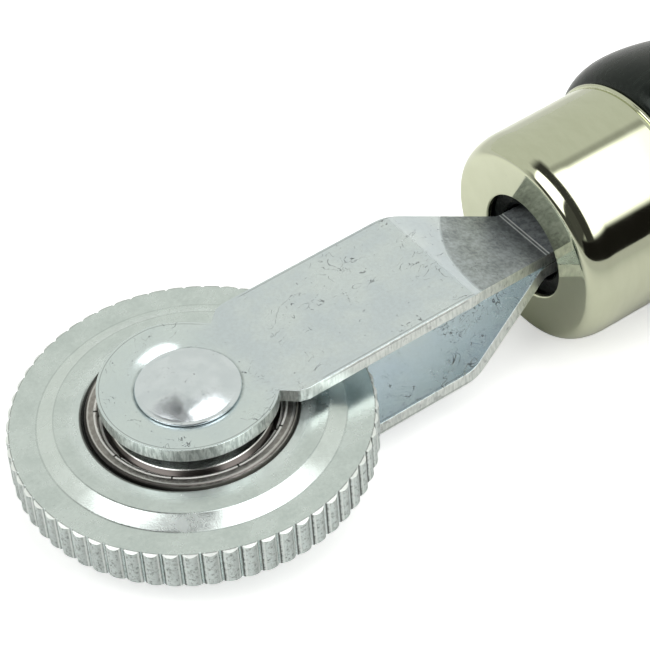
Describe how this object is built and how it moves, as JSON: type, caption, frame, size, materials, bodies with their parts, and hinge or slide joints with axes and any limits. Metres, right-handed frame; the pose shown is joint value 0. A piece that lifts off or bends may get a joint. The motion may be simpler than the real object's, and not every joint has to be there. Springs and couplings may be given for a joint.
{
  "type": "tyre patch roller",
  "caption": "Hand roller with a scalloped steel wheel on a shielded ball bearing, riveted in a two-cheek fork with a ferruled turned handle.",
  "frame": {"origin": "centre of the wheel, on the axle's axis, midway between the cheeks", "axes": "+Z along the axle, towards the rivet's domed head; +X along the handle, towards its butt; +Y completes the right-handed frame"},
  "size_m": [0.1699, 0.0384, 0.031],
  "materials": {
    "zinc_plated_steel": "zinc plated, lightly scratched",
    "bearing_steel": "ground and hardened",
    "polished_steel": "polished",
    "pressed_steel": "pressed sheet",
    "plain_steel": "plain turned",
    "nickel_plate": "bright nickel plate",
    "black_lacquered_wood": "glossy black lacquer"
  },
  "bodies": {
    "fork": {"fork_cheek_upper": "zinc_plated_steel", "fork_cheek_lower": "zinc_plated_steel", "axle_rivet": "zinc_plated_steel", "axle_bush": "plain_steel", "spacer_washer_upper": "plain_steel", "spacer_washer_lower": "plain_steel", "bearing_inner_ring": "bearing_steel", "ferrule": "nickel_plate", "handle": "black_lacquered_wood"},
    "wheel": {"roller_wheel": "zinc_plated_steel", "bearing_outer_ring": "bearing_steel", "shield_upper": "pressed_steel", "shield_lower": "pressed_steel"},
    "cage": {"cage_upper_half": "pressed_steel", "cage_lower_half": "pressed_steel", "cage_rivets": "polished_steel"},
    "ball_1": {"bearing_ball_1": "polished_steel"},
    "ball_2": {"bearing_ball_2": "polished_steel"},
    "ball_3": {"bearing_ball_3": "polished_steel"},
    "ball_4": {"bearing_ball_4": "polished_steel"},
    "ball_5": {"bearing_ball_5": "polished_steel"},
    "ball_6": {"bearing_ball_6": "polished_steel"},
    "ball_7": {"bearing_ball_7": "polished_steel"}
  },
  "joints": [
    {"name": "wheel_spin", "type": "hinge", "parent": "fork", "child": "wheel", "pos_m": [0, 0, 0], "axis": [0, 0, 1], "continuous": true},
    {"name": "cage_orbit", "type": "hinge", "parent": "fork", "child": "cage", "pos_m": [0, 0, 0], "axis": [0, 0, 1], "continuous": true},
    {"name": "ball_1_roll", "type": "hinge", "parent": "cage", "child": "ball_1", "pos_m": [0.0075, 0, 0], "axis": [0, 0, 1], "continuous": true},
    {"name": "ball_2_roll", "type": "hinge", "parent": "cage", "child": "ball_2", "pos_m": [0.00468, 0.00586, 0], "axis": [0, 0, 1], "continuous": true},
    {"name": "ball_3_roll", "type": "hinge", "parent": "cage", "child": "ball_3", "pos_m": [-0.00167, 0.00731, 0], "axis": [0, 0, 1], "continuous": true},
    {"name": "ball_4_roll", "type": "hinge", "parent": "cage", "child": "ball_4", "pos_m": [-0.00676, 0.00325, 0], "axis": [0, 0, 1], "continuous": true},
    {"name": "ball_5_roll", "type": "hinge", "parent": "cage", "child": "ball_5", "pos_m": [-0.00676, -0.00325, 0], "axis": [0, 0, 1], "continuous": true},
    {"name": "ball_6_roll", "type": "hinge", "parent": "cage", "child": "ball_6", "pos_m": [-0.00167, -0.00731, 0], "axis": [0, 0, 1], "continuous": true},
    {"name": "ball_7_roll", "type": "hinge", "parent": "cage", "child": "ball_7", "pos_m": [0.00468, -0.00586, 0], "axis": [0, 0, 1], "continuous": true}
  ],
  "couplings": [
    {"joint": "cage_orbit", "follows": "wheel_spin", "ratio": 0.6323},
    {"joint": "ball_1_roll", "follows": "wheel_spin", "ratio": 1.7573},
    {"joint": "ball_2_roll", "follows": "wheel_spin", "ratio": 1.7573},
    {"joint": "ball_3_roll", "follows": "wheel_spin", "ratio": 1.7573},
    {"joint": "ball_4_roll", "follows": "wheel_spin", "ratio": 1.7573},
    {"joint": "ball_5_roll", "follows": "wheel_spin", "ratio": 1.7573},
    {"joint": "ball_6_roll", "follows": "wheel_spin", "ratio": 1.7573},
    {"joint": "ball_7_roll", "follows": "wheel_spin", "ratio": 1.7573}
  ]
}
